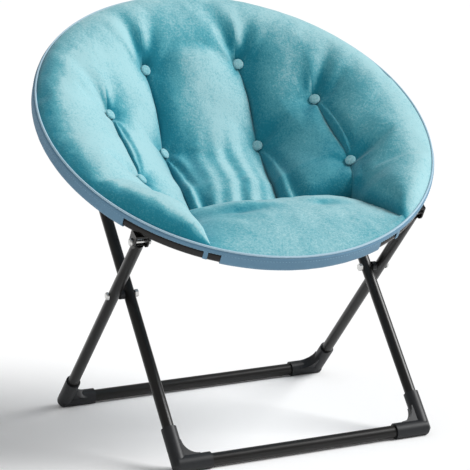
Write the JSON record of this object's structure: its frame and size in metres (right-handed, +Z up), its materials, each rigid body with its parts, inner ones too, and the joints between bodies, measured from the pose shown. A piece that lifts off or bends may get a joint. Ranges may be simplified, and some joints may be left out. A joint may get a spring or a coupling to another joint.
{
  "type": "folding moon chair",
  "caption": "Round padded bowl chair on a tubular rim with crossing folding legs, a tufted plush cushion and moulded corner feet.",
  "frame": {"origin": "on the floor, under the middle of the chair's box", "axes": "+Z up, front of the seat towards -Y, +X to the right of a person who looks at the front"},
  "size_m": [0.79, 0.679, 0.8032],
  "materials": {
    "black_steel": "gloss black paint",
    "bright_steel": "zinc plated",
    "black_plastic": "matte moulded",
    "teal_plush": "short plush",
    "slate_cloth": "plain woven binding",
    "pale_piping": "pale piping",
    "sling_cloth": "plain woven lining"
  },
  "bodies": {
    "long_legs": {"crossing_bolts": "bright_steel", "crossing_nuts": "bright_steel", "crossing_spacers": "black_plastic", "front_corner_foot_left": "black_plastic", "front_corner_foot_right": "black_plastic", "front_foot_bar": "black_steel", "long_leg_left": "black_steel", "long_leg_right": "black_steel", "long_leg_tip_left": "black_steel", "long_leg_tip_right": "black_steel"},
    "short_legs": {"rear_corner_foot_left": "black_plastic", "rear_corner_foot_right": "black_plastic", "rear_foot_bar": "black_steel", "short_leg_cradle_left": "black_steel", "short_leg_cradle_right": "black_steel", "short_leg_left": "black_steel", "short_leg_right": "black_steel"},
    "seat": {"back_panel_centre": "teal_plush", "back_panel_left": "teal_plush", "back_panel_right": "teal_plush", "edge_band": "slate_cloth", "edge_piping": "pale_piping", "front_bracket_bolts": "bright_steel", "front_bracket_left": "black_steel", "front_bracket_nuts": "bright_steel", "front_bracket_right": "black_steel", "front_rim_tube": "black_steel", "pocket_front": "slate_cloth", "pocket_left": "slate_cloth", "pocket_rear": "slate_cloth", "pocket_right": "slate_cloth", "rear_bracket_bolts": "bright_steel", "rear_bracket_left": "black_steel", "rear_bracket_nuts": "bright_steel", "rear_bracket_right": "black_steel", "rear_rim_tube": "black_steel", "rim_joint_sleeves": "black_steel", "rim_straps": "slate_cloth", "seat_panel": "teal_plush", "side_panel_left": "teal_plush", "side_panel_right": "teal_plush", "sling_bowl": "sling_cloth", "sling_front": "sling_cloth", "tuft_buttons": "teal_plush"}
  },
  "joints": [
    {"name": "rear_legs_fold", "type": "hinge", "parent": "long_legs", "child": "short_legs", "pos_m": [0, -0.06276, 0.28587], "axis": [-1, 0, 0], "range_deg": [0, 85]},
    {"name": "seat_lift", "type": "hinge", "parent": "long_legs", "child": "seat", "pos_m": [0, 0.26652, 0.69051], "axis": [-1, 0, 0], "range_deg": [0, 40]}
  ]
}
